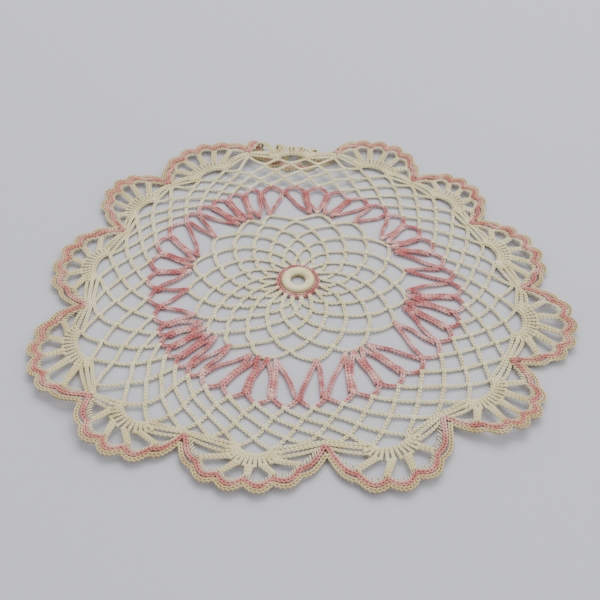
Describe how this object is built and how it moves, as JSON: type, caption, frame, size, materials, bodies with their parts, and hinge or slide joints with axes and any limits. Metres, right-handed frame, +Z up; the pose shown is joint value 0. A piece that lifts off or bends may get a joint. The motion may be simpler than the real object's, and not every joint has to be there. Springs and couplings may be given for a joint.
{
  "type": "crocheted doily",
  "caption": "Round crocheted lace doily: padded centre ring, mesh net, pink fan round and scalloped shells with a pink and cream edging.",
  "frame": {"origin": "middle of the doily's outline, on the surface it lies on", "axes": "+Z up out of the table, +Y towards the folded shell at the back, +X to the right"},
  "size_m": [0.2762, 0.2672, 0.0054],
  "materials": {
    "cream_cotton": "matt, mercerised cotton thread, aged",
    "pink_cotton": "matt, variegated pink cotton thread"
  },
  "bodies": {
    "root": {"centre_ring": "cream_cotton", "cream_edging": "cream_cotton", "fan_arches": "pink_cotton", "fan_long_loops": "pink_cotton", "inner_net_round_1": "cream_cotton", "inner_net_round_2": "cream_cotton", "inner_net_round_3": "cream_cotton", "inner_net_round_4": "cream_cotton", "inner_net_round_5": "cream_cotton", "inner_net_round_6": "cream_cotton", "outer_net_round_1": "cream_cotton", "outer_net_round_2": "cream_cotton", "outer_net_round_3": "cream_cotton", "outer_net_round_4": "cream_cotton", "pink_edging": "pink_cotton", "ring_edging": "pink_cotton", "shell_01": "cream_cotton", "shell_02": "cream_cotton", "shell_03": "cream_cotton", "shell_04": "cream_cotton", "shell_05": "cream_cotton", "shell_06": "cream_cotton", "shell_07": "cream_cotton", "shell_08": "cream_cotton", "shell_09": "cream_cotton", "shell_10": "cream_cotton", "shell_11": "cream_cotton", "shell_12": "cream_cotton", "shell_13": "cream_cotton", "shell_base_round": "cream_cotton"}
  },
  "joints": []
}
